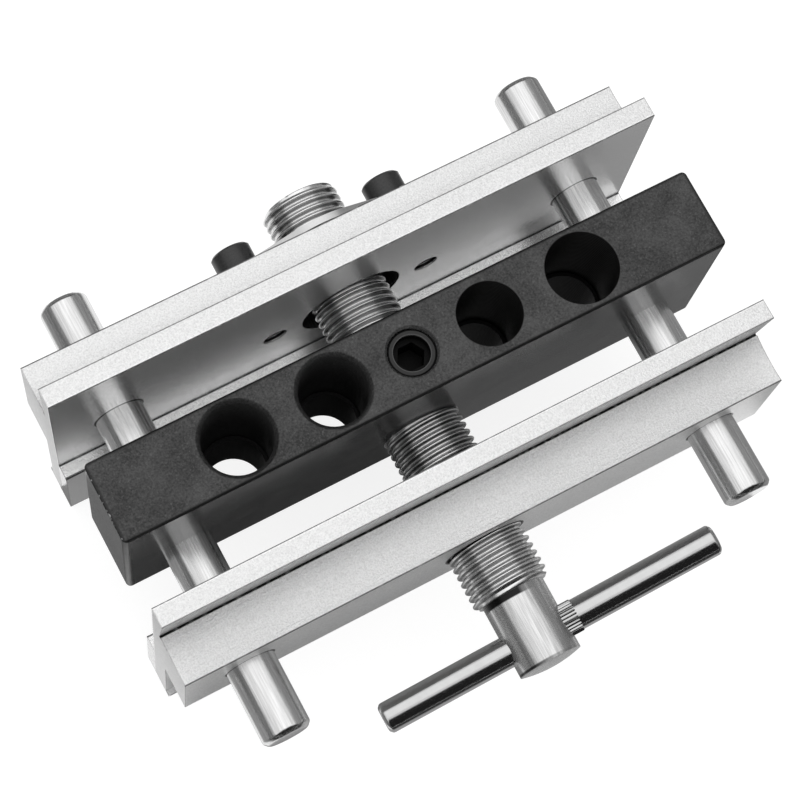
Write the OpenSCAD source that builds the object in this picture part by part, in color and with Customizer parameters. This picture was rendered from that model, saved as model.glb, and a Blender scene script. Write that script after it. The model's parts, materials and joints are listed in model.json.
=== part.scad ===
// Self centering doweling jig. A drilled steel block rides between two extruded
// jaws that slide on two guide rods. A lead screw, left hand in front and right
// hand behind, draws both jaws in alike, so the holes stay on the board's centre.
// X runs along the block, -Y is the handle side, Z is up. The origin is the middle
// of the block's underside, the seat that rests on the edge of the board.

/* [Guide block] */
// How far each end of the block stands back from the jaws' ends
block_setback = 1; // [0:0.5:4]
// Width of the block, between its long sides
block_w = 20; // [19:0.5:24]
// Height of the block, the length of its guide holes
block_h = 47; // [42:1:52]
// Bevel on the block's long edges
block_edge = 0.5; // [0.2:0.1:1]
// Metal left on each side of the outer hole on the left
wall_a = 1.8; // [1.2:0.05:4]
// Metal left on each side of the inner hole on the left
wall_b = 2; // [1.2:0.05:4]
// Metal left on each side of the inner hole on the right
wall_c = 2.35; // [1.2:0.05:4]
// Metal left on each side of the outer hole on the right
wall_d = 1.4; // [1.2:0.05:4]
// Length of the guide bores, from the work seat up to the step
guide_l = 18; // [12:0.5:30]
// Width of the step between a guide bore and the relief bore above it
guide_step = 0.85; // [0.4:0.05:1.5]
// Width of the bevel at the mouths of the two left holes
mouth_bevel = 1; // [0.4:0.1:1.2]

/* [Guide rods] */
// Diameter of the guide rods
rod_d = 12; // [10:0.5:13]
// Length of the guide rods
rod_l = 115; // [108:1:124]
// How far the rods stand off centre towards the handle
rod_shift = 2.4; // [0:0.1:4]
// Height of the rod and screw axes above the work seat
axis_z = 15.4; // [14.5:0.1:18]
// Bevel at the ends of the rods
rod_bevel = 1.1; // [0.5:0.1:2]

/* [Jaws] */
// Length of the jaws
jaw_l = 155; // [148:1:165]
// Distance from the block's centre line to each jaw's inner side
jaw_open = 25; // [22:0.5:27]
// Depth of the jaw from its inner side to its outer side
jaw_depth = 16; // [15:0.5:18]
// Height of the upright plate's top above the work seat
plate_top = 46; // [42:0.5:52]
// Thickness of the upright plate at its top
plate_t = 5; // [4:0.1:6]
// How much thinner the upright plate is at its foot
plate_undercut = 1.5; // [0.5:0.1:2]
// Width and depth of the relief groove at the foot of the plate
corner_groove = 0.6; // [0.3:0.1:1]
// Height of the shelf's outer edge above the work seat
shelf_h = 29; // [27:0.5:31]
// Rise of the shelf from its outer edge to the plate
shelf_rise = 1.2; // [0.5:0.1:2]
// Depth of the hollow in the shelf
shelf_hollow = 0.7; // [0.2:0.1:1]
// How far the outer part reaches below the work seat
rib_drop = 0.5; // [0.2:0.1:2]
// How far the skirt reaches below the work seat
skirt_drop = 33.5; // [25:0.5:38]
// Thickness of the skirt behind the jaw's inner side
skirt_t = 5.9; // [5:0.1:8]
// Reach of the toe along the skirt's outer foot
toe_reach = 1.4; // [1:0.1:2.5]
// Height of the toe
toe_h = 1.8; // [1.2:0.1:3]
// How far the clamping lip stands in from the jaw's inner side
lip_reach = 3.8; // [3:0.1:5]
// Gap between the work seat and the top of the clamping lip
lip_gap = 5.2; // [3:0.1:8]
// Bevel on the lip's edges
lip_bevel = 0.5; // [0.3:0.1:0.8]

/* [Lead screw] */
// Outer diameter of the thread
screw_d = 19.4; // [18:0.1:20]
// Pitch of the thread, alike in both hands
pitch = 1.9; // [1.7:0.1:2.2]
// Depth of the thread
thread_depth = 1.1; // [0.9:0.1:1.2]
// Distance from the block's centre line to the thread's front end
thread_front = 54.5; // [52:0.5:58]
// Distance from the block's centre line to the thread's back end
thread_back = 52.5; // [50:0.5:56]
// Diameter of the plain journal that turns in the block
journal_d = 19.6; // [18.4:0.1:20.4]
// Diameter at the bottom of the retaining groove
groove_d = 14.4; // [13:0.1:15]
// Width of the retaining groove
groove_w = 8; // [7.8:0.1:9]
// Diameter of the hub that carries the handle
hub_d = 15.6; // [14:0.1:16.2]
// Length of the hub in front of the thread
hub_l = 19.1; // [16:0.1:22]
// Bevel at the hub's end
hub_bevel = 1.2; // [0.5:0.1:2]

/* [Handle bar] */
// Diameter of the handle bar
bar_d = 7.5; // [6:0.1:8]
// Length of the handle bar
bar_l = 87; // [70:1:120]
// How far the bar stands off centre in its hub
bar_shift = 3.6; // [0:0.1:5]
// Angle of the bar above the level
bar_tilt = 10; // [0:1:90]
// Distance of the bar from the hub's end
bar_inset = 7.8; // [7:0.1:9]
// Diameter over the knurl that grips in the hub
knurl_d = 8; // [7.6:0.1:8.6]
// Reach of the knurl from the hub's axis
knurl_end = 10.6; // [9:0.1:14]
// Bevel at the ends of the bar
bar_bevel = 0.8; // [0.3:0.1:1.2]

/* [Nut and screws] */
// Outer diameter of the nut's sleeve in the back jaw
nut_d = 25.8; // [24.4:0.1:27]
// Depth of the recess between the jaw's inner side and the sleeve
nut_recess = 3; // [1:0.5:5]
// Diameter of the nut's flange around the screw
flange_d = 28.4; // [27.6:0.1:30]
// Thickness of the nut's flange
flange_t = 1.6; // [1.2:0.1:3]
// Distance of each cap screw from the lead screw's axis
bolt_x = 20.2; // [19:0.1:22]
// Diameter of the flange's ears
ear_d = 11; // [10.4:0.1:13]
// Thread diameter of the cap screws
bolt_d = 6; // [5:0.5:6]
// Length of the cap screws under the head
bolt_l = 16; // [12:1:17]
// Diameter of the cap screws' heads
bolt_head_d = 10; // [8.5:0.5:10]
// Height of the cap screws' heads
bolt_head_h = 6; // [5:0.5:7]
// Hexagon size of the cap screws
bolt_hex = 5; // [4:0.5:5]
// Diameter of the screw that retains the lead screw
retainer_d = 11.4; // [11:0.1:12]
// Depth of the retaining screw's top below the block's top
retainer_sink = 1; // [0.5:0.1:3]
// Diameter of the retaining screw's plain tip
retainer_tip_d = 7.4; // [6:0.1:7.6]
// Diameter of the mouth of the retaining screw's socket
socket_mouth_d = 8.6; // [8:0.1:9]
// Hexagon size of the retaining screw
retainer_hex = 6; // [5:0.5:6]

/* [Fits] */
// Clearance of the guide rods in the jaws, on the radius
slide_gap = 0.04; // [0.03:0.01:0.05]
// Clearance of the lead screw's journal in the block, on the radius
journal_gap = 0.05; // [0.03:0.01:0.09]
// Clearance of the thread in the front jaw and in the nut, on the radius
thread_gap = 0.15; // [0.1:0.05:0.3]
// Clearance of a piece that is fixed in its hole, on the radius
seat_gap = 0.03; // [0.02:0.01:0.05]
// Clearance of the retaining tip in its groove
tip_gap = 0.3; // [0.2:0.1:0.5]

/* [Hidden] */
$fn = 96;

// Overrun of every cut past the face that it opens
over = 1;
// Length over which joined solids share their volume
lap = 0.5;
// Steps round one turn of the thread
turn_steps = 24;
// Places of the thread's root, crest start and crest end along one pitch
crest_shares = [0, 0.42, 0.58];
// Steps across the hollow of the shelf
hollow_steps = 8;
// Flutes of the knurl
flutes = 28;
// Depth of the knurl's flutes
flute_depth = 0.35;
// Depth of the hexagon in a cap screw and in the retaining screw
bolt_hex_depth = 3;
retainer_hex_depth = 6;
// Depth of the round mouth over the retaining screw's hexagon
socket_mouth_depth = 3;
// Bevel on the edges of the small screws
screw_bevel = 0.5;
// Bevel at the mouth of the retaining screw's hole
retainer_mouth = 0.5;

// Place of the rods along the half length of the jaws
rod_share = 0.787;
// Share of the metal between screw, holes and rod that lies inside the inner holes
inner_hole_share = 0.13;
// Share of that metal that lies outside the outer holes
outer_hole_share = 0.24;

// Radius of the corners of a hexagon, from its size across the flats
function hex_r(flats) = flats / sqrt(3);

block_l = jaw_l - 2 * block_setback;
rod_x = rod_share * jaw_l / 2;
widest_hole = block_w - 2 * min(wall_a, wall_b, wall_c, wall_d);
spare_l = rod_x - rod_d / 2 - journal_d / 2 - 2 * widest_hole;
inner_hole_x = journal_d / 2 + inner_hole_share * spare_l + widest_hole / 2;
outer_hole_x = rod_x - rod_d / 2 - outer_hole_share * spare_l - widest_hole / 2;

screw_r = screw_d / 2;
root_r = screw_r - thread_depth;
hub_end = thread_front + hub_l;
bar_y = hub_end - bar_inset;
rod_bore_r = rod_d / 2 + slide_gap;
thread_bore_r = screw_r + thread_gap;
nut_bore_r = nut_d / 2 + seat_gap;
bolt_hole_r = bolt_d / 2 + seat_gap;
retainer_top = block_h - retainer_sink;
retainer_foot = axis_z + journal_d / 2 + tip_gap;
retainer_tip = axis_z + groove_d / 2 + tip_gap;

// Turns a solid drawn along +Z so that it lies along +Y
module along_y() rotate([-90, 0, 0]) children();

// Turns a profile of depth and height into a bar along X, centred
module bar_along_x(length)
  translate([-length / 2, 0, 0]) rotate([90, 0, 90]) linear_extrude(length) children();

// A round pin from 0 to length with bevelled ends
module bevelled_pin(r, length, bevel)
  rotate_extrude() polygon([[0, 0], [r - bevel, 0], [r, bevel], [r, length - bevel],
                            [r - bevel, length], [0, length]]);

// A pin through a block along +Z, with the overrun at both ends
module through_hole(r, length) translate([0, 0, -over]) cylinder(r = r, h = length + 2 * over);

// A funnel that bevels the mouth of a hole of radius r, its wide side at height 0
module mouth(r, bevel)
  rotate_extrude() polygon([[0, -bevel - over], [r, -bevel - over], [r, -bevel],
                            [r + bevel, 0], [r + bevel, over], [0, over]]);

// The guide block

// A guide bore below, a wider relief bore above it, and a bevel at the mouth where given
module guide_hole(x, wall, bevel) translate([x, 0, 0]) {
  relief_r = block_w / 2 - wall;
  through_hole(relief_r - guide_step, block_h);
  translate([0, 0, guide_l]) cylinder(r = relief_r, h = block_h - guide_l + over);
  if (bevel > 0) translate([0, 0, block_h]) mouth(relief_r, bevel);
}

module guide_block() color("#2b2b2c") difference() {
  bar_along_x(block_l) polygon([
    [-block_w / 2 + block_edge, 0], [block_w / 2 - block_edge, 0],
    [block_w / 2, block_edge], [block_w / 2, block_h - block_edge],
    [block_w / 2 - block_edge, block_h], [-block_w / 2 + block_edge, block_h],
    [-block_w / 2, block_h - block_edge], [-block_w / 2, block_edge]]);
  guide_hole(-outer_hole_x, wall_a, mouth_bevel);
  guide_hole(-inner_hole_x, wall_b, mouth_bevel);
  guide_hole(inner_hole_x, wall_c, 0);
  guide_hole(outer_hole_x, wall_d, 0);
  for (side = [-1, 1]) translate([side * rod_x, -block_w / 2, axis_z])
    along_y() through_hole(rod_d / 2 + seat_gap, block_w);
  translate([0, -block_w / 2, axis_z]) along_y() through_hole(journal_d / 2 + journal_gap, block_w);
  translate([0, 0, axis_z]) cylinder(r = retainer_d / 2 + seat_gap, h = block_h - axis_z + over);
  translate([0, 0, block_h]) mouth(retainer_d / 2 + seat_gap, retainer_mouth);
}

// The guide rods, pressed into the block

module guide_rod(side) color("#d9dadb")
  translate([side * rod_x, -rod_l / 2 - rod_shift, axis_z]) along_y() bevelled_pin(rod_d / 2, rod_l, rod_bevel);

module guide_rod_left() guide_rod(-1);
module guide_rod_right() guide_rod(1);

// The retaining screw, its tip in the groove of the lead screw

module screw_retainer() color("#3a3a3c") difference() {
  union() {
    translate([0, 0, retainer_foot])
      bevelled_pin(retainer_d / 2, retainer_top - retainer_foot, screw_bevel);
    translate([0, 0, retainer_tip])
      cylinder(d = retainer_tip_d, h = retainer_foot - retainer_tip + lap);
  }
  translate([0, 0, retainer_top - socket_mouth_depth])
    cylinder(d = socket_mouth_d, h = socket_mouth_depth + over);
  translate([0, 0, retainer_top - socket_mouth_depth - retainer_hex_depth])
    cylinder(r = hex_r(retainer_hex), h = retainer_hex_depth + over, $fn = 6);
}

// The jaws

// Cross section of the extrusion: depth from the inner side, then height
plate_foot = plate_t - plate_undercut;
groove_end = plate_foot + corner_groove;

function shelf_point(s) = [
  groove_end + s * (jaw_depth - groove_end),
  shelf_h + (1 - s) * shelf_rise - 4 * s * (1 - s) * shelf_hollow];

jaw_points = concat(
  [[0, plate_top], [plate_t, plate_top], [plate_foot, shelf_h + shelf_rise - corner_groove],
   [groove_end, shelf_h + shelf_rise - corner_groove]],
  [for (i = [0:hollow_steps]) shelf_point(i / hollow_steps)],
  [[jaw_depth, -rib_drop], [skirt_t, -rib_drop],
   [skirt_t, toe_h - skirt_drop], [skirt_t + toe_reach, toe_h - skirt_drop],
   [skirt_t + toe_reach, -skirt_drop],
   [lip_bevel - lip_reach, -skirt_drop], [-lip_reach, lip_bevel - skirt_drop],
   [-lip_reach, -lip_gap - lip_bevel], [lip_bevel - lip_reach, -lip_gap],
   [0, -lip_gap]]);

// A jaw with its inner side at depth 0 and its depth along +Y, bored for the rods
module jaw_bar() difference() {
  bar_along_x(jaw_l) polygon(jaw_points);
  for (side = [-1, 1]) translate([side * rod_x, 0, axis_z]) along_y() through_hole(rod_bore_r, jaw_depth);
}

module front_jaw() color("#c9cacc") translate([0, -jaw_open, 0]) mirror([0, 1, 0]) difference() {
  jaw_bar();
  translate([0, 0, axis_z]) along_y() through_hole(thread_bore_r, jaw_depth);
}

module back_jaw() color("#c9cacc") translate([0, jaw_open, 0]) difference() {
  jaw_bar();
  translate([0, 0, axis_z]) along_y() through_hole(nut_bore_r, jaw_depth);
  for (side = [-1, 1]) translate([side * bolt_x, 0, axis_z])
    along_y() through_hole(bolt_hole_r, jaw_depth);
}

// The flanged nut in the back jaw, and its two cap screws

// Outline of the flange: a disc and two ears with straight flanks between them
module flange_outline() {
  lean = acos((flange_d - ear_d) / 2 / bolt_x);
  disc_x = flange_d / 2 * cos(lean);
  disc_z = flange_d / 2 * sin(lean);
  ear_x = bolt_x + ear_d / 2 * cos(lean);
  ear_z = ear_d / 2 * sin(lean);
  circle(d = flange_d);
  for (side = [-1, 1]) translate([side * bolt_x, 0]) circle(d = ear_d);
  polygon([[disc_x, disc_z], [ear_x, ear_z], [ear_x, -ear_z], [disc_x, -disc_z],
           [-disc_x, -disc_z], [-ear_x, -ear_z], [-ear_x, ear_z], [-disc_x, disc_z]]);
}

module screw_nut() color("#bfc0c2")
  translate([0, jaw_open + jaw_depth, axis_z]) along_y() difference() {
    union() {
      linear_extrude(flange_t) flange_outline();
      translate([0, 0, nut_recess - jaw_depth]) cylinder(d = nut_d, h = jaw_depth - nut_recess + lap);
    }
    translate([0, 0, nut_recess - jaw_depth])
      through_hole(thread_bore_r, jaw_depth - nut_recess + flange_t);
    for (side = [-1, 1]) translate([side * bolt_x, 0, 0]) through_hole(bolt_hole_r, flange_t);
  }

module cap_screw() difference() {
  union() {
    translate([0, 0, -bolt_l]) bevelled_pin(bolt_d / 2, bolt_l + lap, screw_bevel);
    rotate_extrude() polygon([[0, 0], [bolt_head_d / 2, 0],
                              [bolt_head_d / 2, bolt_head_h - screw_bevel],
                              [bolt_head_d / 2 - screw_bevel, bolt_head_h], [0, bolt_head_h]]);
  }
  translate([0, 0, bolt_head_h - bolt_hex_depth])
    cylinder(r = hex_r(bolt_hex), h = bolt_hex_depth + over, $fn = 6);
}

module nut_cap_screws() color("#242425")
  for (side = [-1, 1]) translate([side * bolt_x, jaw_open + jaw_depth + flange_t, axis_z])
    along_y() cap_screw();

// The lead screw

// Bevelled outer limit of the thread at height z of a run
function run_limit(z, length) = root_r + min(thread_depth, length - z);

// Depth share of the thread at a place along the pitch, 0 at the root and 1 at the crest
function crest_share(u) = u < crest_shares[1] ? u / crest_shares[1]
                        : u < crest_shares[2] ? 1 : (1 - u) / (1 - crest_shares[2]);

function run_radius(z, u, length) =
  min(root_r + thread_depth * crest_share(u - floor(u)), run_limit(z, length));

// Height of helix row n at step j: three rows in each pitch
function row_z(n, j) = pitch * (floor(n / 3) + crest_shares[n - 3 * floor(n / 3)] + j / turn_steps);

// First and last row at step j that lie inside the run
function first_row(j, n) = row_z(n, j) > pitch / 12 ? n : first_row(j, n + 1);
function last_row(j, n, length) = row_z(n, j) < length - pitch / 12 ? n : last_row(j, n - 1, length);

// A right hand thread from height 0 to length, its top end bevelled
module thread_run(length) {
  top_n = 3 * ceil(length / pitch);
  firsts = [for (j = [0:turn_steps - 1]) first_row(j, -3)];
  lasts = [for (j = [0:turn_steps - 1]) last_row(j, top_n, length)];
  heights = [for (j = [0:turn_steps - 1])
    concat([0], [for (n = [firsts[j]:lasts[j]]) row_z(n, j)], [length])];
  counts = [for (h = heights) len(h)];
  starts = [for (j = 0, s = 0; j < turn_steps; s = s + counts[j], j = j + 1) s];
  points = [for (j = [0:turn_steps - 1]) for (z = heights[j])
    let (r = run_radius(z, z / pitch - j / turn_steps, length), a = 360 * j / turn_steps)
      [r * cos(a), r * sin(a), z]];
  // Column j + 1 seen from column j: at the seam its rows are three further on
  faces = [for (j = [0:turn_steps - 1])
    let (k = (j + 1) % turn_steps, shift = k == 0 ? 3 : 0,
         a0 = starts[j], b0 = starts[k], an = counts[j], bn = counts[k],
         fa = firsts[j], fb = firsts[k] - shift, la = lasts[j], lb = lasts[k] - shift)
      each concat(
        [for (n = [fb:fa]) if (fb <= fa) [a0, b0 + 1 + n - fb, b0 + n - fb]],
        [[a0, a0 + 1, b0 + 1 + fa - fb]],
        [for (n = [fa:lb - 1]) each [
          [a0 + 1 + n - fa, a0 + 2 + n - fa, b0 + 2 + n - fb],
          [a0 + 1 + n - fa, b0 + 2 + n - fb, b0 + 1 + n - fb]]],
        [[a0 + 1 + lb - fa, b0 + bn - 1, b0 + 1 + lb - fb]],
        [for (n = [lb:la]) if (lb <= la) [a0 + 1 + n - fa, a0 + 2 + n - fa, b0 + bn - 1]])];
  caps = [[for (j = [0:turn_steps - 1]) starts[j]],
          [for (j = [turn_steps - 1:-1:0]) starts[j] + counts[j] - 1]];
  polyhedron(points = points, faces = concat(faces, caps));
}

// The plain parts of the screw as one turned shape along +Z, from the hub's end
module screw_core() {
  shoulder = hub_end - thread_front + lap;
  translate([0, 0, -hub_end]) bevelled_hub(shoulder);
  rotate_extrude() polygon([
    [0, -block_w / 2], [journal_d / 2, -block_w / 2], [journal_d / 2, -groove_w / 2],
    [groove_d / 2, -groove_w / 2], [groove_d / 2, groove_w / 2], [journal_d / 2, groove_w / 2],
    [journal_d / 2, block_w / 2], [0, block_w / 2]]);
}

module bevelled_hub(length)
  rotate_extrude() polygon([[0, 0], [hub_d / 2 - hub_bevel, 0], [hub_d / 2, hub_bevel],
                            [hub_d / 2, length], [0, length]]);

module lead_screw() color("#b5b6b8") translate([0, 0, axis_z]) along_y() difference() {
  union() {
    screw_core();
    translate([0, 0, block_w / 2 - lap]) thread_run(thread_back - block_w / 2 + lap);
    mirror([0, 0, 1]) translate([0, 0, block_w / 2 - lap])
      thread_run(thread_front - block_w / 2 + lap);
  }
  translate([0, 0, -bar_y]) rotate([0, 0, -bar_tilt]) rotate([0, 90, 0]) {
    translate([0, 0, -hub_d / 2]) through_hole(bar_d / 2 + seat_gap, hub_d);
    translate([0, 0, hub_d / 4]) cylinder(r = knurl_d / 2 + seat_gap, h = hub_d / 4 + over);
  }
}

// The handle bar, driven into the hub up to its knurl

module knurl_outline() polygon([for (i = [0:2 * flutes - 1])
  let (r = knurl_d / 2 - (i % 2) * flute_depth, a = 180 * i / flutes) [r * cos(a), r * sin(a)]]);

module handle_bar() color("#c4c5c7")
  translate([0, 0, axis_z]) along_y() translate([0, 0, -bar_y]) rotate([0, 0, -bar_tilt])
    rotate([0, 90, 0]) {
      translate([0, 0, bar_shift - bar_l / 2]) bevelled_pin(bar_d / 2, bar_l, bar_bevel);
      translate([0, 0, hub_d / 4 + seat_gap]) linear_extrude(knurl_end - hub_d / 4 - seat_gap)
        knurl_outline();
    }

guide_block();
guide_rod_left();
guide_rod_right();
screw_retainer();
front_jaw();
back_jaw();
screw_nut();
nut_cap_screws();
lead_screw();
handle_bar();
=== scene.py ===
import json
import math

import bmesh
import bpy
import numpy as np
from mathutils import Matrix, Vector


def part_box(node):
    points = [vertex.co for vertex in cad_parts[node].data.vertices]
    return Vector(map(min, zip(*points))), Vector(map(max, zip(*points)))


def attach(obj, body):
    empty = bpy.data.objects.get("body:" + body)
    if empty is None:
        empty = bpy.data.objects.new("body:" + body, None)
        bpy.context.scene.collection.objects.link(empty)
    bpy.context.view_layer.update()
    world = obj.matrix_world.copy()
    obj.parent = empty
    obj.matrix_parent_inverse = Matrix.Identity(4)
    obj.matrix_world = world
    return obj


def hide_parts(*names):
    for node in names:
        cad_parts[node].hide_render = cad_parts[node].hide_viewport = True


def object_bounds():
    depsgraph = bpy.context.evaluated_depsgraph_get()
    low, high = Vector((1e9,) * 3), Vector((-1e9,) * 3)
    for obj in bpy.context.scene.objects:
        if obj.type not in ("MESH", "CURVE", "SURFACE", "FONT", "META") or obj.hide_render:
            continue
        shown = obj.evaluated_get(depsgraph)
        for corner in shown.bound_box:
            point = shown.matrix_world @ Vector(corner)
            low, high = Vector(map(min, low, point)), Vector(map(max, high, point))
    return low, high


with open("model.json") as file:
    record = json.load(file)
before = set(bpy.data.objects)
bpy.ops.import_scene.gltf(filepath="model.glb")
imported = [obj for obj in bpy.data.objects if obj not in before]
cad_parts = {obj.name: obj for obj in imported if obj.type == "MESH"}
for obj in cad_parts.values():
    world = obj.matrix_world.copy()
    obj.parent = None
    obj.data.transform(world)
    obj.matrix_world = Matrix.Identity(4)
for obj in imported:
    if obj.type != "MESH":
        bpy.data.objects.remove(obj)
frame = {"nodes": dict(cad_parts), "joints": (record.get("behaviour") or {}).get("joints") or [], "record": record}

cad_box = [list(corner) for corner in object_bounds()]
nodes = frame["nodes"]
MM = 0.001

# Guide block
# One bar of steel, milled square, drilled and reamed for the dowel bits, then
# blackened in a hot oxide bath. The oxide is thin, so it wears to bright specks
# along the edges, and the reamer leaves fine rings down the holes.


class Reading:
    """A value that varies over a surface: one output socket, with arithmetic."""

    def __init__(self, shading, socket):
        self.shading = shading
        self.socket = socket

    def maths(self, operation, first, second=0.0):
        """The result of one Math node, from two readings or numbers."""
        return self.shading.node("ShaderNodeMath", {"operation": operation}, {0: first, 1: second})

    def __add__(self, other):
        return self.maths("ADD", self, other)

    def __radd__(self, other):
        return self.maths("ADD", other, self)

    def __sub__(self, other):
        return self.maths("SUBTRACT", self, other)

    def __rsub__(self, other):
        return self.maths("SUBTRACT", other, self)

    def __mul__(self, other):
        return self.maths("MULTIPLY", self, other)

    def __rmul__(self, other):
        return self.maths("MULTIPLY", other, self)

    def __pow__(self, other):
        return self.maths("POWER", self, other)

    def __abs__(self):
        return self.maths("ABSOLUTE", self)

    def sine(self):
        """The sine of a reading in radians, from -1 to 1."""
        return self.maths("SINE", self)

    def lowest(self, other):
        """The lower of two readings."""
        return self.maths("MINIMUM", self, other)

    def highest(self, other):
        """The higher of two readings."""
        return self.maths("MAXIMUM", self, other)


class Shading:
    """The nodes of one material or world, round its main shader."""

    def __init__(self, tree, shader, **constants):
        self.tree = tree
        self.shader = tree.nodes[shader]
        for socket, value in constants.items():
            self.shader.inputs[socket.replace("_", " ")].default_value = value

    def node(self, kind, settings=None, sockets=None, output=0):
        """Adds a node: its settings first, then the values or links of its sockets."""
        made = self.tree.nodes.new(kind)
        for key, value in (settings or {}).items():
            setattr(made, key, value)
        for key, value in (sockets or {}).items():
            if isinstance(value, Reading):
                self.tree.links.new(value.socket, made.inputs[key])
            else:
                made.inputs[key].default_value = value
        return Reading(self, made.outputs[output])

    def ramp(self, value, low, high, to_low=0.0, to_high=1.0):
        """Straight ramp of a value, held at both ends."""
        return self.node("ShaderNodeMapRange", {"clamp": True},
                         {"Value": value, "From Min": low, "From Max": high,
                          "To Min": to_low, "To Max": to_high})

    def feed(self, **readings):
        """Links readings to the main shader's own sockets."""
        for socket, reading in readings.items():
            self.tree.links.new(reading.socket, self.shader.inputs[socket.replace("_", " ")])


class Finish(Shading):
    """A procedural surface finish round one Principled shader.

    place is the point on the piece in millimetres, x, y and z its parts.
    """

    def __init__(self, name, **constants):
        self.material = bpy.data.materials.new(name)
        self.material.use_nodes = True
        super().__init__(self.material.node_tree, "Principled BSDF", **constants)
        point = self.node("ShaderNodeTexCoord", output="Object")
        self.place = self.node("ShaderNodeVectorMath", {"operation": "SCALE"},
                               {"Vector": point, "Scale": 1 / MM})
        self.x, self.y, self.z = (self.node("ShaderNodeSeparateXYZ", {}, {"Vector": self.place}, part)
                                  for part in "XYZ")

    def noise(self, scale, detail=2.0, stretch=None, roughness=0.5, place=None):
        """Soft noise from 0 to 1; scale counts its lumps per millimetre, stretch thins them per axis."""
        place = place or self.place
        if stretch:
            place = self.node("ShaderNodeVectorMath", {"operation": "MULTIPLY"}, {0: place, 1: stretch})
        return self.node("ShaderNodeTexNoise", {}, {"Vector": place, "Scale": scale, "Detail": detail,
                                                    "Roughness": roughness})

    def blend(self, share, first, second):
        """A colour that goes from first to second as share goes from 0 to 1."""
        return self.node("ShaderNodeMix", {"data_type": "RGBA"}, {0: share, 6: first, 7: second}, 2)

    def bump(self, height, depth, strength=1.0):
        """Relief from a height of 0 to 1, depth in millimetres."""
        return self.node("ShaderNodeBump", {},
                         {"Height": height, "Distance": depth * MM, "Strength": strength})

    def mix_in(self, second, share):
        """Swaps the Principled shader for a second one where share goes to 1."""
        both = self.node("ShaderNodeMixShader", {}, {0: share, 2: second})
        self.tree.links.new(self.shader.outputs[0], both.socket.node.inputs[1])
        self.tree.links.new(both.socket, self.tree.nodes["Material Output"].inputs["Surface"])

    def put_on(self, *names):
        """Gives this finish to CAD nodes through their material slots."""
        for name in names:
            for held in nodes[name].material_slots:
                held.material = self.material


def grey(level):
    """A neutral colour of one level."""
    return (level, level, level, 1)


def corners_mm(name):
    """The lowest and the highest corner of a CAD node, in millimetres."""
    return (np.array(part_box(name)) / MM).round(4).tolist()


BLOCK_HALF_LENGTH, BLOCK_HALF_WIDTH, BLOCK_TOP = corners_mm("guide_block")[1]
# How far the holes' painted shade reaches past each hole's wall, from the left hole to the right
# one: the two left holes have bevelled mouths
MOUTH_REACH = {"a": 0.95, "b": 0.95, "c": 0.12, "d": 0.12}
# Heights in the right holes below which their walls get the darkest painted shade, and above which the least
DARK_BELOW, LIT_ABOVE = 19, 30
# Rate of the wave that stands for the reamer's rings, in radians per millimetre
RING_RATE = 7.0
OXIDE_DEEP, OXIDE_THIN, OXIDE_SPECK = grey(0.017), grey(0.07), grey(0.14)
# EDGE_SHADE paints shade along the edges, BARE_STEEL the worn specks
EDGE_SHADE, BARE_STEEL = grey(0.006), grey(0.4)
BORE_DARK, BORE_LIT = grey(0.006), grey(0.042)

oxide = Finish("black_oxide", IOR=1.5, Specular_IOR_Level=0.32)
mottle = oxide.noise(0.12, 4.0)
grain = oxide.noise(2.2, 3.0)
streak = oxide.noise(1.2, 2.0, (0.08, 1, 1))
speck = oxide.ramp(oxide.noise(1.6, 4.0, roughness=0.8), 0.56, 0.68)
# How far the nearest top or upright edge is: the lowest sum of the distances to two faces
from_top = BLOCK_TOP - oxide.z
from_side = BLOCK_HALF_WIDTH - abs(oxide.y)
from_end = BLOCK_HALF_LENGTH - abs(oxide.x)
edge = (from_top + from_side).lowest(from_top + from_end).lowest(from_side + from_end)
worn = oxide.ramp(edge * 0.8 - oxide.noise(0.8, 5.0), -0.38, -0.46)
# Painted shade: a dark line along the top and upright edges, where they lie in shadow
edge_shade = oxide.ramp(edge, 0.9, 0.5)
base = oxide.blend(oxide.ramp(mottle * 0.45 + grain * 0.55, 0.38, 0.62), OXIDE_DEEP, OXIDE_THIN)
base = oxide.blend(speck * 0.6, base, OXIDE_SPECK)
base = oxide.blend(edge_shade * 0.85, base, EDGE_SHADE)
base = oxide.blend(worn, base, BARE_STEEL)
# The rounded edges are more satin than the milled faces
satin = oxide.ramp(from_top, 0.25, 0.1).highest(oxide.ramp(from_side + from_end, 1.4, 1.1))
oxide.feed(Base_Color=base,
           Metallic=worn * 0.9,
           Roughness=oxide.ramp(satin, 0, 1, 0.2, 0.42) + (streak - 0.5) * 0.1,
           Normal=oxide.bump(grain, 0.02))
# Painted shade: light dies away in the holes, so a second, matt and nearly black shader takes over there
mounts = {mount["name"]: mount for mount in frame["record"]["mounts"]}
in_hole = None
for letter, reach in MOUTH_REACH.items():
    hole = mounts["relief_hole_" + letter]
    hole_r = hole["dims"]["r_mm"]
    off = oxide.x - hole["pos_m"][0] / MM
    inside = oxide.ramp(off * off + oxide.y * oxide.y, (hole_r + reach) ** 2, (hole_r + 0.08) ** 2)
    in_hole = in_hole.highest(inside) if in_hole else inside
# The two right holes are painted darker than the left ones, a little less so higher up: painted shade
wall_light = oxide.ramp(oxide.x, 1, -1).highest(oxide.ramp(oxide.z, DARK_BELOW, LIT_ABOVE) * 0.35)
wall_mottle = oxide.ramp(oxide.noise(3.0, 2.5), 0.25, 0.8)
bore = oxide.node("ShaderNodeBsdfPrincipled", {}, {
    "Base Color": oxide.blend(wall_mottle * wall_light, BORE_DARK, BORE_LIT),
    "Roughness": 0.5, "Specular IOR Level": 0.12,
    "Normal": oxide.bump((oxide.z * RING_RATE).sine(), 0.06, 0.5)})
oxide.mix_in(bore, in_hole)


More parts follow.
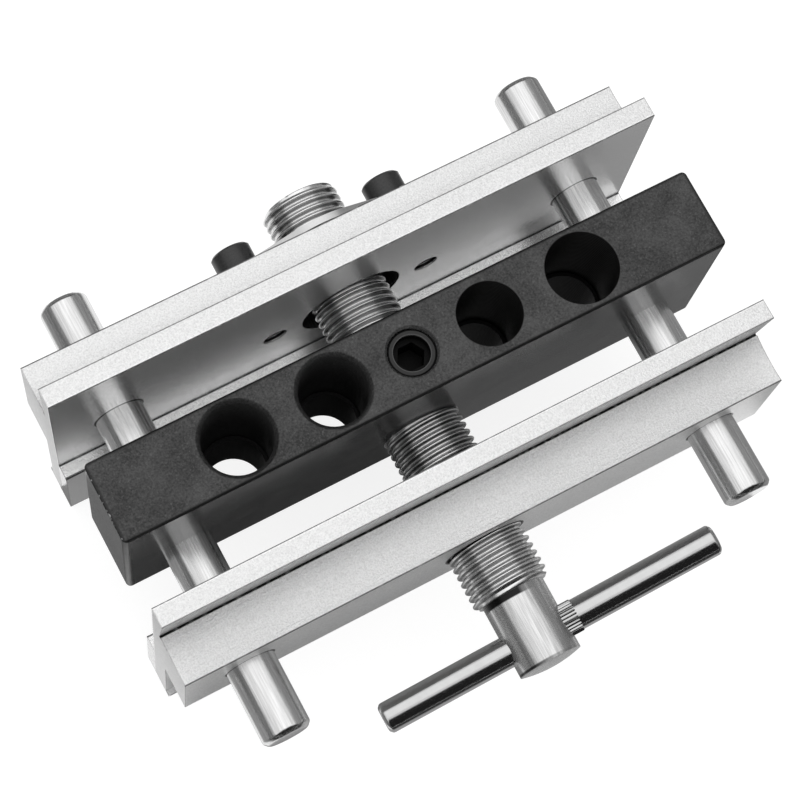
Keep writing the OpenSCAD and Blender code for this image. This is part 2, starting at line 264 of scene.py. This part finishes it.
def grid_faces(rows, columns, wrap):
    """Corner numbers of the quads of a grid of rows by columns; wrap closes its rows.

    A point's number is its row times the columns plus its column. Each quad joins
    a point, the next one in its row and the two after them in the next row.
    """
    r, c = np.meshgrid(np.arange(rows - 1), np.arange(columns if wrap else columns - 1), indexing="ij")
    after = (c + 1) % columns
    return np.stack([r * columns + c, r * columns + after,
                     (r + 1) * columns + after, (r + 1) * columns + c], -1).reshape(-1, 4)


def merge_points(mesh):
    """Merges a closed mesh's doubled points and turns its faces outwards."""
    work = bmesh.new()
    work.from_mesh(mesh)
    bmesh.ops.remove_doubles(work, verts=work.verts, dist=0.0005 * MM)
    bmesh.ops.dissolve_degenerate(work, edges=work.edges, dist=0.0005 * MM)
    bmesh.ops.recalc_face_normals(work, faces=work.faces)
    work.to_mesh(mesh)
    work.free()


def closed_mesh(name, points, faces):
    """A closed mesh from points in millimetres."""
    mesh = bpy.data.meshes.new(name)
    mesh.from_pydata((np.asarray(points) * MM).tolist(), [], [list(face) for face in faces])
    merge_points(mesh)
    return mesh


def new_piece(name, mesh, finish, body, smooth_angle=35):
    """Makes one piece of a mesh, shaded smooth but for edges sharper than an angle in degrees."""
    mesh.polygons.foreach_set("use_smooth", np.ones(len(mesh.polygons), bool))
    mesh.set_sharp_from_angle(angle=math.radians(smooth_angle))
    mesh.materials.clear()
    mesh.materials.append(finish.material)
    piece = bpy.data.objects.new(name, mesh)
    bpy.context.scene.collection.objects.link(piece)
    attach(piece, body)
    return piece


# The drilled bar's outer edges are rounded: it keeps what it shares with a rounded bar that
# stands proud of its faces by SPARE. CORNER_R rounds the upright edges, ARRIS_R the level ones
CORNER_R, ARRIS_R, SPARE = 1.3, 0.35, 0.01


def rounded_oblong(inset, height, steps=6):
    """The bar's outline at a height, drawn in by inset, with a quarter circle at each corner."""
    angle = np.linspace(0, np.pi / 2, steps + 1) + np.arange(4)[:, None] * np.pi / 2
    side_x, side_y = np.array([[1, -1, -1, 1], [1, 1, -1, -1]])[:, :, None]
    out = CORNER_R - inset
    x = side_x * (BLOCK_HALF_LENGTH + SPARE - CORNER_R) + out * np.cos(angle)
    y = side_y * (BLOCK_HALF_WIDTH + SPARE - CORNER_R) + out * np.sin(angle)
    return np.stack([x, y, 0 * x + height], -1).reshape(-1, 3)


arris_angle = np.linspace(0, np.pi / 2, 4)
arris_inset = ARRIS_R * (1 - np.cos(arris_angle))
arris_depth = ARRIS_R * (1 - np.sin(arris_angle)) - SPARE
outlines = [rounded_oblong(inset, depth) for inset, depth in zip(arris_inset[::-1], arris_depth[::-1])]
outlines += [rounded_oblong(inset, BLOCK_TOP - depth) for inset, depth in zip(arris_inset, arris_depth)]
corner_count = len(outlines[0])
underside = list(range(corner_count))
topside = [corner + corner_count * (len(outlines) - 1) for corner in underside]
skin = [list(face) for face in grid_faces(len(outlines), corner_count, True)] + [underside, topside]
rounded_bar = bpy.data.objects.new("rounded_bar", closed_mesh("rounded_bar", np.concatenate(outlines), skin))
drilled_mesh = nodes["guide_block"].data.copy()
merge_points(drilled_mesh)
drilled_bar = bpy.data.objects.new("drilled_bar", drilled_mesh)
for helper in (rounded_bar, drilled_bar):
    bpy.context.scene.collection.objects.link(helper)
trim = drilled_bar.modifiers.new("rounded_edges", "BOOLEAN")
trim.operation = "INTERSECT"
trim.solver = "EXACT"
trim.object = rounded_bar
shared = bpy.data.meshes.new_from_object(drilled_bar.evaluated_get(bpy.context.evaluated_depsgraph_get()))
for helper in (rounded_bar, drilled_bar):
    bpy.data.objects.remove(helper)
block = new_piece("guide_block_rounded", shared, oxide, "block")
# The milled faces and the steps in the holes are shaded flat, all the rest smooth. A face
# counts as square to an axis where its normal's part along it is over FACING
FACING = 0.9999
facing, middle = np.empty((2, len(shared.polygons), 3))
shared.polygons.foreach_get("normal", facing.ravel())
shared.polygons.foreach_get("center", middle.ravel())
half = np.array([BLOCK_HALF_LENGTH, BLOCK_HALF_WIDTH]) * MM
milled_sides = (np.abs(facing[:, :2]) > FACING) & (np.abs(middle[:, :2]) > half - 0.05 * MM)
level_faces = np.abs(facing[:, 2]) > FACING
shared.polygons.foreach_set("use_smooth", ~(milled_sides.any(1) | level_faces))
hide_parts("guide_block")

# Guide rods
# Two bars of ground and polished steel, pressed through the block. Both jaws
# slide on them. Their ends are bevelled in the lathe, with the corners broken.


def rounded(profile, radius, steps):
    """A profile of (along, out) points whose inner corners become short arcs.

    Each corner is swapped for points of the parabola between its two cut points.
    """
    points = np.asarray(profile, float)
    arcs = [points[:1]]
    for before, corner, after in zip(points[:-2], points[1:-1], points[2:]):
        to_before, to_after = before - corner, after - corner
        reach = min(radius, 0.45 * np.hypot(*to_before), 0.45 * np.hypot(*to_after))
        start = corner + to_before / np.hypot(*to_before) * reach
        end = corner + to_after / np.hypot(*to_after) * reach
        t = np.linspace(0, 1, steps + 1)[:, None]
        arcs.append((1 - t) ** 2 * start + 2 * t * (1 - t) * corner + t ** 2 * end)
    return np.concatenate(arcs + [points[-1:]])


def bevelled_rod(start, end, radius, bevel):
    """The (along, out) profile of a round rod with bevelled ends."""
    return [(start, 0), (start, radius - bevel), (start + bevel, radius),
            (end - bevel, radius), (end, radius - bevel), (end, 0)]


def turned(profile, steps=96):
    """A turned shape about +Y: each (along, out) point becomes a ring of that radius."""
    profile = np.asarray(profile, float)
    angle = np.linspace(0, 2 * np.pi, steps, endpoint=False)
    along, out = profile[:, :1], profile[:, 1:]
    points = np.stack([out * np.cos(angle), along + 0 * angle, out * np.sin(angle)], -1)
    return points.reshape(-1, 3), grid_faces(len(profile), steps, True)


ROD_R, ROD_BEVEL = 6.0, 1.1
rod_low, rod_high = corners_mm("guide_rod_right")
ROD_FRONT, ROD_BACK, ROD_X = rod_low[1], rod_high[1], rod_high[0] - ROD_R
# Height of the lead screw's axis, and of the rods beside it
AXIS_Z = next(joint for joint in frame["joints"] if joint["name"] == "screw_turn")["pos_m"][2] / MM
GROUND_DARK, GROUND_PALE = grey(0.60), grey(0.78)

ground = Finish("ground_steel", Metallic=1.0)
ground_lines = ground.noise(2.6, 3.0, (1, 0.04, 1))
ground.feed(Base_Color=ground.blend(ground.ramp(ground_lines, 0.35, 0.65), GROUND_DARK, GROUND_PALE),
            Roughness=0.17 + ground_lines * 0.12,
            Normal=ground.bump(ground_lines, 0.01, 0.6))
rod_profile = rounded(bevelled_rod(ROD_FRONT, ROD_BACK, ROD_R, ROD_BEVEL), radius=0.5, steps=5)
for side, name in ((-1, "guide_rod_left"), (1, "guide_rod_right")):
    points, faces = turned(rod_profile)
    rod_mesh = closed_mesh(name, points + (side * ROD_X, 0, AXIS_Z), faces)
    rod = new_piece(name + "_ground", rod_mesh, ground, "block")
    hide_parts(name)

# Retaining screw
# A hexagon socket set screw of blackened steel. It stands just below the block's
# top, and its tip in the lead screw's groove keeps that screw in the block.


def away(first, second):
    """Distance of two readings taken square to each other: the root of their squares' sum."""
    return (first * first + second * second) ** 0.5


SET_SCREW_TOP = corners_mm("screw_retainer")[1][2]
# Radius of the painted highlight ring round the mouth of the socket, where its edge catches the light
HIGHLIGHT_RING_R = 4.1
SOCKET_SHADE, SET_SCREW_DARK, SET_SCREW_PALE, HIGHLIGHT_GREY = grey(0.004), grey(0.008), grey(0.02), grey(0.12)

set_screw = Finish("blackened_set_screw", IOR=1.5, Specular_IOR_Level=0.35, Roughness=0.35)
at_top = set_screw.ramp(set_screw.z, SET_SCREW_TOP - 1.4, SET_SCREW_TOP - 0.6)
# Painted highlight: a pale ring on the top round the socket's mouth
highlight_ring = set_screw.ramp(abs(away(set_screw.x, set_screw.y) - HIGHLIGHT_RING_R), 0.45, 0.1) * at_top
blackened = set_screw.blend(set_screw.noise(1.5, 3.0), SET_SCREW_DARK, SET_SCREW_PALE)
set_screw.feed(Base_Color=set_screw.blend(highlight_ring, blackened, HIGHLIGHT_GREY),
               Normal=set_screw.bump(set_screw.noise(3.0, 3.0), 0.02))
# Painted shade: inside the socket, and everywhere below the top, it is matt and nearly black
socket = set_screw.node("ShaderNodeBsdfPrincipled", {}, {
    "Base Color": SOCKET_SHADE, "Roughness": 0.5, "Specular IOR Level": 0.1})
set_screw.mix_in(socket, set_screw.ramp(set_screw.z, SET_SCREW_TOP - 0.4, SET_SCREW_TOP - 0.8))
set_screw.put_on("screw_retainer")

# Jaws
# Two lengths of one aluminium extrusion, sawn, drilled for the rods, blasted to a
# fine grain and anodised in its natural silver.

(_, LIP_FACE, _), (JAW_HALF_L, JAW_BACK, JAW_TOP) = corners_mm("back_jaw")
# Distances from the middle of the upper plate's two sides
PLATE_FACE, PLATE_BACK = 25.0, 30.0
# Arris or groove of the jaws' outline: distance from the middle, height, half width and
# strength of its line of painted shade
JAW_LINES = ((PLATE_FACE, JAW_TOP, 0.3, 0.9), (PLATE_BACK, JAW_TOP, 0.3, 0.8), (28.8, 29.6, 0.75, 1.0),
             (JAW_BACK, 29.0, 0.35, 0.9), (JAW_BACK, -0.5, 0.3, 0.6), (PLATE_FACE, -5.2, 0.4, 0.9),
             (LIP_FACE, -5.7, 0.4, 0.7))
# Radii of the holes painted dark as shade: for the screw in the front jaw, for the nut in the back one, and
# for the two cap screws' threads at BOLT_X
SCREW_HOLE_R, NUT_HOLE_R, BOLT_HOLE_R, BOLT_X = 10.2, 12.9, 3.05, 20.19
# Rate of the wave of painted highlights on the crests of the tapped holes' threads, in radians per millimetre
TAP_RATE = 6.3
SILVER_DARK, SILVER_PALE, HOLE_SHADE, TAP_GLINT = grey(0.70), grey(1.0), grey(0.01), grey(0.8)

blasted = Finish("blasted_anodised_aluminium", Metallic=0.82)
grit = blasted.noise(2.4, 3.0, roughness=0.7)
cloud = blasted.noise(0.05, 3.0)
speckle = blasted.ramp(grit, 0.34, 0.66)
aside, behind, above_axis = abs(blasted.x), abs(blasted.y), blasted.z - AXIS_Z
on_back_jaw = blasted.ramp(blasted.y, -1, 1)
# Painted shade: a thin dark line along the arrises and in the groove, fainter along the sawn ends and broken by
# noise
line = blasted.ramp(JAW_HALF_L - aside, 0.3, 0.1) * 0.35
for line_y, line_z, width, strength in JAW_LINES:
    near = away(behind - line_y, blasted.z - line_z)
    line = line.highest(blasted.ramp(near, width, width * 0.5, 0.0, strength))
line = line * blasted.ramp(blasted.noise(0.7, 3.0), 0.25, 0.5, 0.75, 1.0)
# Painted shade: the running gaps round the rods and the screw, and the holes themselves, are dark
rod_gap = blasted.ramp(away(aside - ROD_X, above_axis), ROD_R + 0.5, ROD_R + 0.3)
from_hole = away(aside, above_axis) - on_back_jaw * (NUT_HOLE_R - SCREW_HOLE_R)
screw_gap = blasted.ramp(from_hole, SCREW_HOLE_R + 0.2, SCREW_HOLE_R)
bolt_hole = blasted.ramp(away(aside - BOLT_X, above_axis), BOLT_HOLE_R + 0.15, BOLT_HOLE_R) * on_back_jaw
shaded_places = line.highest(rod_gap).highest(screw_gap).highest(bolt_hole)
silver = blasted.blend(speckle * 0.8 + cloud * 0.2, SILVER_DARK, SILVER_PALE)
# Painted highlight: pale bands for the thread crests in the cap screws' holes
tap_glints = bolt_hole * blasted.ramp((blasted.y * TAP_RATE).sine(), 0.3, 0.9)
dark = blasted.blend(tap_glints, HOLE_SHADE, TAP_GLINT)
# The faces towards the block keep more of the smooth skin of the extrusion
smooth_skin = blasted.ramp(behind, PLATE_FACE + 0.6, PLATE_FACE + 0.2)
blasted.feed(Base_Color=blasted.blend(shaded_places, silver, dark),
             Roughness=0.3 + speckle * 0.1 - smooth_skin * 0.17,
             Normal=blasted.bump(grit * (1 - smooth_skin * 0.75), 0.16, 0.9))
blasted.put_on("front_jaw", "back_jaw")

# Lead screw
# Turned from one steel bar: a hub, a left hand thread for the front jaw, a plain
# journal in the block and a right hand thread for the nut in the back jaw.

SCREW_R, THREAD_DEPTH, PITCH = 9.7, 1.1, 1.9
JOURNAL_R, JOURNAL_HALF, GROOVE_R, GROOVE_HALF = 9.8, 10.0, 7.2, 4.0
HUB_R, HUB_L, HUB_DOME = 7.8, 19.1, 1.0
# Distances from the middle of the hub's end and of the two threads' outer ends
HUB_END, THREAD_BACK = (abs(corner[1]) for corner in corners_mm("lead_screw"))
THREAD_FRONT = HUB_END - HUB_L
# How far the threads reach into the journal, and the hub into the front thread
THREAD_LAP, HUB_LAP = 0.5, 1.0
# One pitch of the thread, a round crest between narrow roots: place along the pitch, and
# share of the depth
THREAD_SHARES = np.array([(0.0, 0.0), (0.12, 0.03), (0.32, 0.78), (0.40, 0.96), (0.5, 1.0),
                          (0.60, 0.96), (0.68, 0.78), (0.88, 0.03)])
# Middle and half length of the stretch, from the front jaw to the block, where the thread's
# flanks get their darkest painted shade
SHADED_STRETCH_Y, SHADED_STRETCH_HALF = -25.0, 16.0
CREST_DARK, CREST_PALE = grey(0.66), grey(0.95)
FLANK_SHADED, FLANK_OPEN = grey(0.2), grey(0.36)
HUB_DARK, HUB_PALE, CORNER_SHADE = grey(0.5), grey(0.7), grey(0.02)


def thread(start, end, steps=96):
    """A threaded length along the Y axis from start to end.

    Rows follow the helix: each row's place is its place in the pitch, plus one
    pitch per turn, held between the ends. The radius follows that place, and
    falls away over the last turn of the free end. Both ends close on the axis.
    The helix comes out left handed towards +Y and right handed towards -Y, which
    is the reverse of the CAD's. The opposite sign on the sine would swap them.
    """
    length = abs(end - start)
    turns = np.arange(-1, math.ceil(length / PITCH) + 1)
    along = (turns[:, None] + THREAD_SHARES[:, 0]).ravel()[:, None] * PITCH
    angle = np.linspace(0, 2 * np.pi, steps + 1)
    place = np.clip(along + PITCH * angle / (2 * np.pi), 0, length)
    phase = (place / PITCH - angle / (2 * np.pi)) % 1.0
    share = np.interp(phase, np.append(THREAD_SHARES[:, 0], 1.0), np.append(THREAD_SHARES[:, 1], 0.0))
    out = np.minimum(SCREW_R - THREAD_DEPTH * (1 - share), SCREW_R - THREAD_DEPTH + (length - place))
    close = np.zeros((1, steps + 1))
    place = np.concatenate([close, place, close + length])
    out = np.concatenate([close, out, close])
    side = 1 if end > start else -1
    points = np.stack([out * np.cos(angle), start + side * place, out * np.sin(angle)], -1)
    return points.reshape(-1, 3), grid_faces(len(place), steps + 1, False)


def together(*shapes):
    """Joins several (points, faces) shapes into one.

    A shape's corner numbers go up by the count of the points before it.
    """
    offsets = np.cumsum([0] + [len(points) for points, faces in shapes[:-1]])
    return (np.concatenate([points for points, faces in shapes]),
            np.concatenate([faces + offset for (points, faces), offset in zip(shapes, offsets)]))


turned_steel = Finish("turned_steel", Metallic=1.0)
beside, along, above = turned_steel.x, turned_steel.y, turned_steel.z - AXIS_Z
from_axis = away(beside, above)
on_hub = turned_steel.ramp(along, -THREAD_FRONT + 0.2, -THREAD_FRONT - 0.3)
threaded = turned_steel.ramp(abs(along), JOURNAL_HALF - 0.1, JOURNAL_HALF + 0.1) * (1 - on_hub)
# Painted shade: the thread's flanks are darker than its crests, and darkest in the shaded stretch
flank = turned_steel.ramp(abs(from_axis - (SCREW_R - THREAD_DEPTH * 0.52)), 0.42, 0.25) * threaded
in_the_open = turned_steel.ramp(abs(along - SHADED_STRETCH_Y), SHADED_STRETCH_HALF, SHADED_STRETCH_HALF + 3)
# Painted shade darkens the corner between thread and hub, and the edge of the hub's end, most on the left
neck_shade = turned_steel.ramp(abs(along + THREAD_FRONT + 0.8), 1.0, 0.7) * turned_steel.ramp(beside, 4, 0)
neck_shade = neck_shade * turned_steel.ramp(above, 0, 3)
hub_rim_shade = turned_steel.ramp(abs(along + HUB_END - HUB_DOME - 0.3), 0.5, 0.2)
hub_rim_shade = hub_rim_shade * turned_steel.ramp(beside, 6, -4, 0.0, 0.9)
# Tool marks run round the axis: rings by the place along it, and by the radius on end faces
turning = turned_steel.node("ShaderNodeCombineXYZ", {}, {"X": from_axis, "Y": along})
marks = turned_steel.noise(5.0, place=turning)
hub_lines = turned_steel.noise(2.6, 3.0, (1, 0.05, 1))
thread_bright = turned_steel.blend(marks, CREST_DARK, CREST_PALE)
hub_bright = turned_steel.blend(turned_steel.ramp(hub_lines, 0.35, 0.65), HUB_DARK, HUB_PALE)
flank_grey = turned_steel.blend(in_the_open, FLANK_SHADED, FLANK_OPEN)
steel = turned_steel.blend(flank, turned_steel.blend(on_hub, thread_bright, hub_bright), flank_grey)
turned_steel.feed(Base_Color=turned_steel.blend(neck_shade.highest(hub_rim_shade), steel, CORNER_SHADE),
                  Roughness=0.2 + marks * 0.14,
                  Normal=turned_steel.bump(marks, 0.006, 0.5))
# The hub's end is a shallow dome: a cap of a sphere that rises HUB_DOME over the hub's radius
dome_r = (HUB_R ** 2 + HUB_DOME ** 2) / (2 * HUB_DOME)
dome_out = np.linspace(0, HUB_R, 13)
dome = np.stack([dome_r - np.sqrt(dome_r ** 2 - dome_out ** 2) - HUB_END, dome_out], -1)
hub = np.concatenate([dome, [(-THREAD_FRONT + HUB_LAP, HUB_R), (-THREAD_FRONT + HUB_LAP, 0)]])
journal = [(-JOURNAL_HALF, 0), (-JOURNAL_HALF, JOURNAL_R),
           (-GROOVE_HALF, JOURNAL_R), (-GROOVE_HALF, GROOVE_R),
           (GROOVE_HALF, GROOVE_R), (GROOVE_HALF, JOURNAL_R),
           (JOURNAL_HALF, JOURNAL_R), (JOURNAL_HALF, 0)]
points, faces = together(turned(hub), turned(journal),
                         thread(JOURNAL_HALF - THREAD_LAP, THREAD_BACK),
                         thread(THREAD_LAP - JOURNAL_HALF, -THREAD_FRONT))
screw_mesh = closed_mesh("lead_screw", points + (0, 0, AXIS_Z), faces)
lead_screw = new_piece("lead_screw_turned", screw_mesh, turned_steel, "screw", 60)
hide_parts("lead_screw")

# Handle bar
# A polished steel bar driven across the hub. A short straight knurl beside the
# middle bites into the hub and stays in sight on its right.

BAR_R, BAR_L, BAR_BEVEL, BAR_SHIFT, BAR_TILT, BAR_Y = 3.75, 87.0, 0.8, 3.6, 10.0, -65.8
KNURL_R, KNURL_FROM, KNURL_END, KNURL_EDGE = 4.0, 3.93, 10.6, 0.25
FLUTES, FLUTE_DEPTH, FLUTE_STEPS = 28, 0.35, 8
POLISH_DARK, POLISH_PALE = grey(0.5), grey(0.58)

polished = Finish("polished_steel", Metallic=1.0)
polished.feed(Base_Color=polished.blend(polished.noise(0.4, 3.0), POLISH_DARK, POLISH_PALE),
              Roughness=0.13 + polished.noise(1.5, 3.0) * 0.06,
              Normal=polished.bump(polished.noise(0.6, 2.0), 0.004, 0.5))
plain_bar = bevelled_rod(BAR_SHIFT - BAR_L / 2, BAR_SHIFT + BAR_L / 2, BAR_R, BAR_BEVEL)
# The knurl's radius dips by FLUTE_DEPTH between its ridges, and its two ends are eased
ring_steps = FLUTES * FLUTE_STEPS
flute_angle = np.arange(ring_steps) * 2 * np.pi / ring_steps
knurl_out = KNURL_R - FLUTE_DEPTH * np.abs(np.sin(flute_angle * FLUTES / 2)) ** 1.5
knurl_rows = np.array([(KNURL_FROM, 0.0), (KNURL_FROM, 0.94), (KNURL_FROM + KNURL_EDGE, 1.0),
                       (KNURL_END - KNURL_EDGE, 1.0), (KNURL_END, 0.94), (KNURL_END, 0.0)])
ring = knurl_rows[:, 1:] * knurl_out
knurl = np.stack([ring * np.cos(flute_angle), knurl_rows[:, :1] + 0 * ring, ring * np.sin(flute_angle)], -1)
points, faces = together(turned(rounded(plain_bar, radius=0.4, steps=4)),
                         (knurl.reshape(-1, 3), grid_faces(len(knurl_rows), ring_steps, True)))
# From the bar's own axis along +Y to its place across the hub, tilted in the X-Z plane
tilt = math.radians(BAR_TILT)
across = np.array([(0, 1, 0), (math.cos(tilt), 0, math.sin(tilt)), (-math.sin(tilt), 0, math.cos(tilt))])
bar_mesh = closed_mesh("handle_bar", points @ across + (0, BAR_Y, AXIS_Z), faces)
bar = new_piece("handle_bar_polished", bar_mesh, polished, "screw", 40)
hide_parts("handle_bar")

# Nut and cap screws
# A flanged steel nut sits in the back jaw. Two black socket head cap screws hold
# its ears against the jaw's outer side.

# Distances from the middle between which the nut and the screws come out of the jaw; inside it they are painted
# dark, as shade
JAW_DARK_TO, JAW_LIT_FROM = 30.0, 31.0
NUT_SHADE_IN_JAW, NUT_DARK, NUT_PALE = grey(0.03), grey(0.55), grey(0.68)
CAP_DARK, CAP_PALE = grey(0.006), grey(0.05)

nut_steel = Finish("nut_steel", Metallic=1.0)
nut_marks = nut_steel.noise(2.0, 3.0)
nut_bright = nut_steel.blend(nut_marks, NUT_DARK, NUT_PALE)
# Painted shade: the nut is dark where it lies inside the jaw
nut_outside = nut_steel.ramp(nut_steel.y, JAW_DARK_TO, JAW_LIT_FROM)
nut_steel.feed(Base_Color=nut_steel.blend(nut_outside, NUT_SHADE_IN_JAW, nut_bright),
               Roughness=0.26 + nut_marks * 0.1,
               Normal=nut_steel.bump(nut_marks, 0.01))
nut_steel.put_on("screw_nut")

cap = Finish("blackened_cap_screw", Metallic=0.0, IOR=1.5)
cap_grain = cap.noise(2.5, 3.0)
# Painted shade: the cap screws are darkest where they lie inside the jaw
cap_outside = cap.ramp(cap.y, JAW_DARK_TO, JAW_LIT_FROM)
cap.feed(Base_Color=cap.blend(cap_grain * cap_outside, CAP_DARK, CAP_PALE),
         Roughness=0.32 + cap_grain * 0.1,
         Normal=cap.bump(cap_grain, 0.015))
cap.put_on("nut_cap_screws")

# Floor, light and camera
# The jig stands on a plain floor that looks white, under broad soft light, and is
# seen from above its front left. Lengths here are in metres.

FLOOR_Z, FLOOR_REACH = cad_box[0][2], 4.0
FLOOR_GLOW, FLOOR_COLOUR = 0.84, grey(0.33)
WHITE, BLACK = grey(1.0), grey(0.0)


def panel(name, corners, finish):
    """A flat panel of the studio through its corners."""
    mesh = bpy.data.meshes.new(name)
    mesh.from_pydata(corners, [], [tuple(range(len(corners)))])
    mesh.materials.append(finish.material)
    made = bpy.data.objects.new(name, mesh)
    bpy.context.scene.collection.objects.link(made)
    return made


def white_to_the_eye(shading):
    """A reading that is 1 for camera, glossy and transmission rays and 0 for the light itself."""
    camera, glossy, through = (shading.node("ShaderNodeLightPath", output=ray) for ray in
                               ("Is Camera Ray", "Is Glossy Ray", "Is Transmission Ray"))
    return camera.highest(glossy).highest(through)


floor_paint = Finish("white_floor", Roughness=0.9, Base_Color=FLOOR_COLOUR, Specular_IOR_Level=0.0,
                     Emission_Strength=FLOOR_GLOW)
floor_paint.feed(Emission_Color=white_to_the_eye(floor_paint))
panel("floor", [(x * FLOOR_REACH, y * FLOOR_REACH, FLOOR_Z)
                for x, y in ((-1, -1), (1, -1), (1, 1), (-1, 1))], floor_paint)

# Grey boards round the jig give the bright metal its dark and light bands. Each is
# a side of the studio, from one height to another, and the camera looks past it.
BOARD_AT = 1.6
# Name, the side that it stands on as a direction in x and y, lowest and highest edge, level
SIDE_BOARDS = (("board_front", 0, -1, 0.0, 3.4, 0.02),
               ("board_left", -1, 0, 0.0, 1.0, 0.17),
               ("board_right", 1, 0, 0.0, 1.5, 0.3),
               ("board_back", 0, 1, 0.0, 1.4, 0.12))
# More boards lie on the floor. Those under and round the jig are painted shadow of the floor
# that only reflections see: darker to the left and paler to the right, as the gaps between the jaws and
# the block show in the metal: name, level, x from and to, y from and to
ON_FLOOR = FLOOR_Z + 0.2 * MM
FLOOR_BOARDS = (("board_front_gap_left", 0.08, -0.077, 0.0, -0.034, -0.006),
                ("board_front_gap_right", 0.22, 0.0, 0.077, -0.034, -0.006),
                ("board_below_block_left", 0.01, -0.077, 0.0, -0.006, 0.011),
                ("board_below_block_right", 0.1, 0.0, 0.077, -0.006, 0.011),
                ("board_back_gap_left", 0.28, -0.077, 0.0, 0.011, 0.036),
                ("board_back_gap_right", 0.5, 0.0, 0.077, 0.011, 0.036),
                ("board_left_of_block", 0.25, -0.13, -0.077, -0.006, 0.027),
                ("board_right_of_block", 0.3, 0.077, 0.13, -0.03, 0.036),
                ("board_before_jaw_left", 0.24, -0.077, 0.0, -0.07, -0.034),
                ("board_before_jaw_right", 0.36, 0.0, 0.077, -0.07, -0.034),
                ("board_before_hub", 0.5, -0.077, 0.077, -0.16, -0.07),
                ("board_floor_front", 0.05, -BOARD_AT, BOARD_AT, -BOARD_AT, -0.16),
                ("board_floor_back", 0.2, -BOARD_AT, BOARD_AT, 0.12, BOARD_AT),
                ("board_floor_left", 0.34, -BOARD_AT, -0.115, -0.16, 0.12),
                ("board_floor_right", 0.3, 0.09, BOARD_AT, -0.16, 0.12))


def board(name, level, corners):
    """A board that only reflections see, as bright as its level."""
    finish = Finish(name, Base_Color=BLACK, Specular_IOR_Level=0.0, Roughness=1.0,
                    Emission_Color=WHITE, Emission_Strength=level)
    made = panel(name, corners, finish)
    made.visible_camera = made.visible_diffuse = made.visible_shadow = False


for name, side_x, side_y, low, high, level in SIDE_BOARDS:
    board(name, level, [((side_x + side_y * along) * BOARD_AT, (side_y + side_x * along) * BOARD_AT, z)
                        for along, z in ((-1, low), (1, low), (1, high), (-1, high))])
for name, level, x_from, x_to, y_from, y_to in FLOOR_BOARDS:
    board(name, level, [(x, y, ON_FLOOR) for x, y in ((x_from, y_from), (x_to, y_from),
                                                      (x_to, y_to), (x_from, y_to))])

# The world lights the jig a little less than it shows white to the eye
WORLD_LIGHT, WORLD_SEEN = 0.8, 1.0
world = bpy.data.worlds.new("studio")
bpy.context.scene.world = world
world.use_nodes = True
sky = Shading(world.node_tree, "Background", Color=WHITE)
sky.feed(Strength=sky.ramp(white_to_the_eye(sky), 0, 1, WORLD_LIGHT, WORLD_SEEN))

LAMP_AT, LAMP_SIZE, LAMP_WATTS = (0.0, 0.4, 1.7), 1.6, 2.6
lamp_light = bpy.data.lights.new("overhead", "AREA")
lamp_light.shape = "SQUARE"
lamp_light.size = LAMP_SIZE
lamp_light.energy = LAMP_WATTS
lamp = bpy.data.objects.new("overhead", lamp_light)
bpy.context.scene.collection.objects.link(lamp)
lamp.location = LAMP_AT
lamp.rotation_mode = "QUATERNION"
lamp.rotation_quaternion = (-lamp.location).to_track_quat("-Z", "Y")

# Place in metres, turns in degrees and lens in millimetres of the camera
CAMERA_AT = (-0.11918, -0.122124, 0.587543)
CAMERA_TURNS = (15.73395, -4.68073, -28.3016)
LENS, SENSOR_WIDTH = 114.517, 36.0
camera_lens = bpy.data.cameras.new("camera")
camera_lens.lens = LENS
camera_lens.sensor_width = SENSOR_WIDTH
camera_lens.clip_start = 0.05
camera_lens.clip_end = 20.0
camera = bpy.data.objects.new("camera", camera_lens)
bpy.context.scene.collection.objects.link(camera)
camera.location = CAMERA_AT
camera.rotation_euler = [math.radians(turn) for turn in CAMERA_TURNS]
bpy.context.scene.camera = camera
bpy.context.scene.view_settings.view_transform = "Standard"
